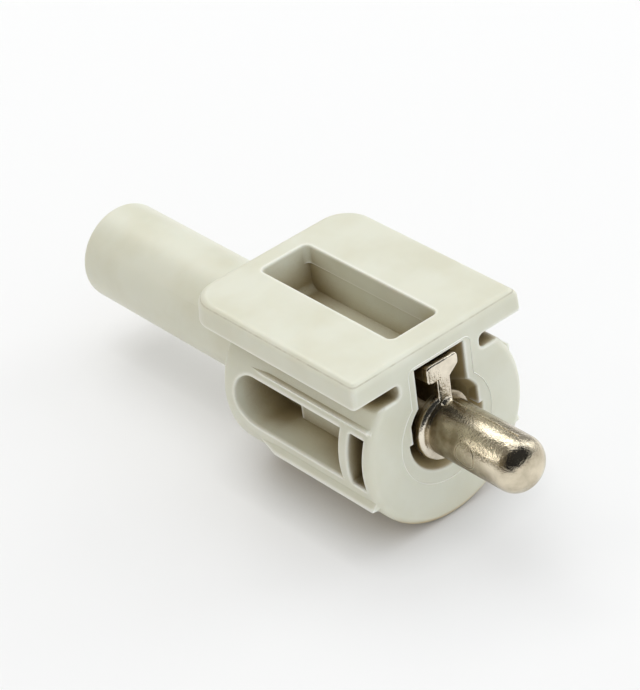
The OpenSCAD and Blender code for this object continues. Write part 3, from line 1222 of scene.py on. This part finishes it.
@dataclass
class Plunger:
    """The die-cast plunger: pin, collar, tab, shank, catch head and spigot."""

    low: Vector = field(default_factory=lambda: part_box("plunger")[0] / MM)
    high: Vector = field(default_factory=lambda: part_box("plunger")[1] / MM)
    rise: float = 0.55
    pin_radius: float = 2.5
    tip_round: float = 1.8
    collar_radius: float = 3.2
    collar_front: float = -0.35
    collar_rear: float = 0.65
    collar_round: float = 0.45
    step_radius: float = 2.9
    step_front: float = 0.35
    parting: float = 0.45
    shank_radius: float = 2.1
    catch: tuple[float, float, float] = (11.86, 13.26, 2.8)
    spigot: tuple[float, float] = (16.26, 1.5)
    tab_rear: float = 4.9
    head_width: float = 3.4
    head_height: float = 1.75
    slope_side: float = 1.1
    slope: float = 0.8
    neck_width: float = 1.4
    head_corner: float = 0.4
    tab_edge: float = 0.18
    gusset_width: float = 1.3
    gusset_tip: float = 0.6
    gusset_radius: float = 0.5
    gusset_sink: float = 0.15
    gusset_fullness: float = 0.6
    ridge: tuple[float, float] = (0.14, 0.05)
    ridge_overlap: float = 0.05
    soft_edge: float = 0.1
    mark: tuple[float, float, float] = (-4.7, 0.85, 1.15)
    mark_width: float = 0.15
    mark_depth: float = 0.045
    mark_reach: tuple[float, float] = (4.0, 2.0)
    mark_steps: int = 48
    cutter_reach: float = 9.0
    collar_inset: float = 0.004
    collar_steps: int = 5
    gusset_steps: int = 10
    crease: float = 50.0

    def rod(self) -> Solid:
        """Builds the pin, the shank, the catch head and the spigot as one turned shape.

        Returns:
            The shape.
        """
        soft = self.soft_edge
        tip = arc((self.low.y + self.tip_round, self.pin_radius - self.tip_round),
                  self.tip_round, 180, 90, WIDE_STEPS)
        start, end, head = self.catch
        far, thin = self.spigot
        blunt = 3 * soft
        profile = [(self.low.y, 0)] + tip
        profile += [(self.step_front, self.pin_radius)]
        profile += arc((self.step_front + soft, self.step_radius - soft), soft, 180, 90,
                       LIP_STEPS)
        profile += arc((self.collar_rear - soft, self.step_radius - soft), soft, 90, 0,
                       LIP_STEPS)
        profile += [(self.collar_rear, self.shank_radius), (start, self.shank_radius)]
        profile += arc((start + soft, head - soft), soft, 180, 90, LIP_STEPS)
        profile += arc((end - soft, head - soft), soft, 90, 0, LIP_STEPS)
        profile += [(end, thin)] + arc((far - blunt, thin - blunt), blunt, 90, 0, SMALL_STEPS)
        return Solid.turned(profile + [(far, 0)], self.rise)

    def collar(self) -> Solid:
        """Builds the wider left part of the collar, cut off at the parting line.

        Returns:
            The part.
        """
        soft = self.soft_edge
        rim = arc((self.collar_front + self.collar_round, self.collar_radius - self.collar_round),
                  self.collar_round, 180, 90, self.collar_steps)
        rear = self.collar_rear - self.collar_inset
        rim += arc((rear - soft, self.collar_radius - soft), soft, 90, 0, LIP_STEPS)
        made = Solid.turned([(self.collar_front, 0)] + rim + [(rear, 0)], self.rise)
        reach = self.cutter_reach
        left = Solid.block((-reach, -OVER, -reach), (self.parting, 2 * OVER, reach))
        return made.mixed(Mix.KEEP, left)

    def tab(self) -> Solid:
        """Builds the tab: a neck with a head, square on the left and sloped on the right.

        Returns:
            The tab.
        """
        half = self.head_width / 2
        neck = self.neck_width / 2
        soft = self.head_corner
        top = self.high.z
        low = top - self.head_height
        outline = arc((half - soft, top - soft), soft, 0, 90, SMALL_STEPS)
        outline += arc((soft - half, top - soft), soft, 90, 180, SMALL_STEPS)
        outline += arc((soft - half, low + soft), soft, 180, 270, SMALL_STEPS)
        outline += [(-neck, low), (-neck, self.rise), (neck, self.rise),
                    (neck, top - self.slope_side - self.slope)]
        outline += arc((half - soft, top - self.slope_side + soft / 2), soft, -45, 0, LIP_STEPS)
        made = Solid.extruded(outline, self.collar_front, self.tab_rear, Axis.Y)
        return made.rounded(lambda e: abs(e.verts[0].co.y - e.verts[1].co.y) < TINY,
                            self.tab_edge, LIP_STEPS)

    def gusset(self) -> Solid:
        """Builds the hollow gusset that flows from the neck's front down to the pin.

        Returns:
            The gusset.
        """
        radius = self.gusset_radius
        foot = self.rise + self.pin_radius
        start = self.collar_front - radius
        sunk = foot - self.gusset_sink
        dome = arc((0, 0), 1, 180, 0, WIDE_STEPS)[1:-1]
        curve = arc((start, foot + radius), radius, -90, 0, self.gusset_steps)
        curve += [(self.collar_front + self.tab_edge, foot + radius)]
        loops = []
        for y, z in curve:
            share = min((y - start) / radius, 1)
            half = (self.gusset_tip + (self.gusset_width - self.gusset_tip) * share) / 2
            hump = [(half * x, sunk + (z - sunk) * rise ** self.gusset_fullness)
                    for x, rise in dome]
            sides = [(half, foot - radius), (-half, foot - radius), (-half, sunk)]
            loops.append([Vector((x, y, up)) for x, up in hump + [(half, sunk)] + sides])
        return Solid.lofted(loops)

    def parting_ridge(self) -> Solid:
        """Builds the fine ridge that the mould's parting leaves along the pin.

        Returns:
            The ridge.
        """
        width, height = self.ridge
        foot = self.rise + math.sqrt(self.pin_radius ** 2 - self.parting ** 2)
        outline = [(self.parting - width, foot - width), (self.parting + width, foot - width),
                   (self.parting + width / 4, foot + height),
                   (self.parting - width / 4, foot + height)]
        return Solid.extruded(outline, self.low.y + self.tip_round,
                              self.step_front + self.ridge_overlap, Axis.Y)

    def ejector_mark(self) -> Solid:
        """Builds the cutter of the ejector pin's ring on the pin's left side.

        Returns:
            The cutter.
        """
        y, rise, radius = self.mark
        wide = radius - self.mark_width
        out, half = self.mark_reach
        line = [(-out, y + wide, rise), (-out, y + radius, rise), (0, y + radius, rise),
                (0, y + wide, rise)]
        ring = Solid.spun(line, (0, y, rise), (1, 0, 0), self.mark_steps, closed=True)
        depth = self.pin_radius - self.mark_depth
        profile = [(y - half, 0), (y - half, depth), (y + half, depth), (y + half, 0)]
        return ring.mixed(Mix.CUT, Solid.turned(profile, self.rise))

    def build(self) -> bpy.types.Object:
        """Builds the plunger and dresses it.

        Returns:
            The piece, riding on the plunger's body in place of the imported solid.
        """
        body = self.rod()
        body.mixed(Mix.CUT, self.ejector_mark())
        body.mixed(Mix.JOIN, self.parting_ridge(), self.collar(), self.tab(), self.gusset())
        body.cleaned()
        made = body.piece("cast_plunger", self.crease)
        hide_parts("plunger")
        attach(made, "plunger")
        made.data.materials.append(PlatedCasting().material())
        return made


# ------------------------------------------------------------------ spring

@dataclass
class CoilSpring:
    """The coil spring behind the plunger."""

    low: Vector = field(default_factory=lambda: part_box("spring")[0] / MM)
    high: Vector = field(default_factory=lambda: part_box("spring")[1] / MM)
    rise: float = 0.55
    wire_radius: float = 0.25
    coil_radius: float = 2.2
    coils: int = 12
    steps: int = 28
    sides: int = 10
    travel: float = 10.4
    crease: float = 50.0

    def wire(self, turn: float, along: float) -> list[Vector]:
        """Gives the wire's outline at one place on the coil.

        Args:
            turn: The angle round the coil in radians.
            along: How far along the bore the wire's middle is.

        Returns:
            The outline's points.
        """
        points = []
        for side in range(self.sides):
            angle = math.tau * side / self.sides
            out = self.coil_radius + self.wire_radius * math.cos(angle)
            points.append(Vector((out * math.cos(turn), along + self.wire_radius * math.sin(angle),
                                  self.rise + out * math.sin(turn))))
        return points

    def build(self) -> bpy.types.Object:
        """Builds the spring and dresses it.

        Returns:
            The piece, which rests in the stem.
        """
        count = self.coils * self.steps
        start = self.low.y + self.wire_radius
        length = self.high.y - self.low.y
        pitch = (length - 2 * self.wire_radius) / count
        loops = [self.wire(math.tau * step / self.steps, start + pitch * step)
                 for step in range(count + 1)]
        made = Solid.lofted(loops).piece("coil_spring", self.crease)
        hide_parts("spring")
        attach(made, "housing")
        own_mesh(made)
        made.data.materials.append(SpringWire().material())
        return made


# ------------------------------------------------------------------ studio

@dataclass(frozen=True)
class Softbox:
    """A soft lamp that shines at the object."""

    name: str
    place: Place
    size: tuple[float, float]
    power: float
    colour: Colour = (1, 1, 1)
    aim: Place = (0, 0.012, 0)

    def hang(self) -> None:
        """Hangs the lamp in the scene."""
        light = bpy.data.lights.new(self.name, "AREA")
        light.shape = "RECTANGLE"
        light.size, light.size_y = self.size
        light.energy = self.power
        light.color = self.colour
        thing = bpy.data.objects.new(self.name, light)
        thing.location = self.place
        way = Vector(self.aim) - Vector(self.place)
        thing.rotation_euler = way.to_track_quat("-Z", "Y").to_euler()
        bpy.context.scene.collection.objects.link(thing)


@dataclass
class Studio:
    """A plain pale floor, soft lamps, a sky that is brighter overhead, and the camera.

    Its lengths are metres.
    """

    floor_colour: Colour = (0.9, 0.9, 0.9)
    floor_glow: float = 0.36
    floor_white: Colour = (0.93, 0.93, 0.93)
    floor_shadow_reach: float = 0.0052
    floor_size: float = 4.0
    lamps: tuple[Softbox, ...] = (
        Softbox("top_lamp", (0.12, 0.12, 0.62), (0.45, 0.45), 0.82, (0.98, 0.99, 1.0)),
        Softbox("right_lamp", (0.52, -0.12, 0.33), (0.3, 0.48), 0.78, (0.97, 0.99, 1.0)),
        Softbox("rear_lamp", (0.13, 0.4, 0.47), (0.34, 0.12), 0.5, (1.0, 0.99, 0.96)),
        Softbox("left_lamp", (-0.44, 0.4, 0.23), (0.1, 0.18), 0.2, (1.0, 0.99, 0.96)))
    sky: tuple[float, float] = (0.34, 0.8)
    sky_left: Colour = (0.58, 0.5, 0.36)
    sky_front: Colour = (1.9, 1.99, 2.1)
    sky_shown: float = 0.34
    sky_dark: float = 0.01
    sky_turn: tuple[float, float] = (0.0, -0.9)
    dark_way: Place = (-0.31, -0.8, 0.51)
    dark_spread: tuple[float, float] = (0.5, 0.58)
    camera_place: Place = (-0.121241, -0.148032, 0.139871)
    camera_turn: Place = (55.5539, 6.8694, -41.1933)
    camera_lens: float = 161.498
    camera_sensor: float = 36.0

    def floor(self) -> None:
        """Builds the floor just under the lowest rib."""
        mesh = bmesh.new()
        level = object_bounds()[0].z
        bmesh.ops.create_grid(mesh, x_segments=1, y_segments=1, size=self.floor_size,
                              matrix=Matrix.Translation((0, 0, level)))
        thing = Solid(mesh).as_object("floor")
        made = bpy.data.materials.new("floor")
        build = Shader.emptied(made)
        shader = build.node("ShaderNodeBsdfPrincipled", Base_Color=(*self.floor_colour, 1),
                            Roughness=1.0, Specular_IOR_Level=0.0)
        # Painted shadow: the glow, which the camera and metal see, fades where the object is near.
        near = build.node("ShaderNodeAmbientOcclusion", samples=FEELERS,
                          Distance=self.floor_shadow_reach, Color=(*self.floor_white, 1))
        glow = build.node("ShaderNodeEmission", Color=near.outputs["Color"], Strength=1.0)
        share = build.sum("MULTIPLY", self.looked_at(build), self.floor_glow)
        shown = build.node("ShaderNodeMixShader", _0=share, _1=shader.outputs["BSDF"],
                           _2=glow.outputs["Emission"])
        build.node("ShaderNodeOutputMaterial", Surface=shown.outputs["Shader"])
        thing.data.materials.append(made)
        thing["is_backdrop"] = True

    def looked_at(self, build: Shader) -> bpy.types.NodeSocket:
        """Adds the mask of what the camera sees, also in metal and through glass.

        Args:
            build: The builder of the material or the world.

        Returns:
            The mask.
        """
        rays = build.node("ShaderNodeLightPath").outputs
        seen = build.sum("ADD", rays["Is Camera Ray"], rays["Is Glossy Ray"])
        return build.sum("ADD", seen, rays["Is Transmission Ray"], clamp=True)

    def world(self) -> None:
        """Surrounds the scene with a soft pale light that has one dark side for metal.

        The camera itself sees a plain pale background there. Metal and glass see the light.
        """
        made = bpy.data.worlds.new("studio")
        bpy.context.scene.world = made
        build = Shader.emptied(made)
        way = build.node("ShaderNodeTexCoord").outputs["Generated"]
        near = build.node("ShaderNodeVectorMath", operation="DOT_PRODUCT", _0=way,
                          _1=self.dark_way).outputs["Value"]
        shade = build.ranged(near, self.dark_spread, (self.sky_shown, self.sky_dark))
        side = build.node("ShaderNodeSeparateXYZ", Vector=way).outputs
        sky = build.ranged(side["Z"], (0.0, 1.0), self.sky)
        level = build.node("ShaderNodeMix", data_type="FLOAT", _0=self.looked_at(build), _2=sky,
                           _3=shade).outputs[0]
        left = build.ranged(side["X"], self.sky_turn, (0.0, 1.0))
        front = build.ranged(side["Y"], self.sky_turn, (0.0, 1.0))
        colour = build.mix(left, (1.0, 1.0, 1.0), self.sky_left)
        colour = build.mix(front, colour, self.sky_front)
        light = build.node("ShaderNodeBackground", Color=colour, Strength=level)
        behind = build.node("ShaderNodeBackground", Color=(*self.floor_white, 1), Strength=1.0)
        seen = build.node("ShaderNodeLightPath").outputs["Is Camera Ray"]
        shown = build.node("ShaderNodeMixShader", _0=seen, _1=light.outputs["Background"],
                           _2=behind.outputs["Background"])
        build.node("ShaderNodeOutputWorld", Surface=shown.outputs["Shader"])

    def camera(self) -> None:
        """Sets the camera."""
        lens = bpy.data.cameras.new("camera")
        lens.sensor_fit = "HORIZONTAL"
        lens.sensor_width = self.camera_sensor
        lens.lens = self.camera_lens
        thing = bpy.data.objects.new("camera", lens)
        thing.location = self.camera_place
        thing.rotation_euler = Euler([math.radians(turn) for turn in self.camera_turn])
        bpy.context.scene.collection.objects.link(thing)
        bpy.context.scene.camera = thing

    def build(self) -> None:
        """Builds the whole studio."""
        self.floor()
        for lamp in self.lamps:
            lamp.hang()
        self.world()
        self.camera()
        bpy.context.scene.view_settings.view_transform = "Standard"


def main() -> None:
    """Builds the pieces in order and notes the sizes."""
    logging.basicConfig(level=logging.INFO, format="%(message)s")
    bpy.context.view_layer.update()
    for maker in (Housing(), Plunger(), CoilSpring()):
        made = maker.build()
        log.info("%s: %d faces", made.name, len(made.data.polygons))
    Studio().build()


if __name__ == "__main__":
    main()
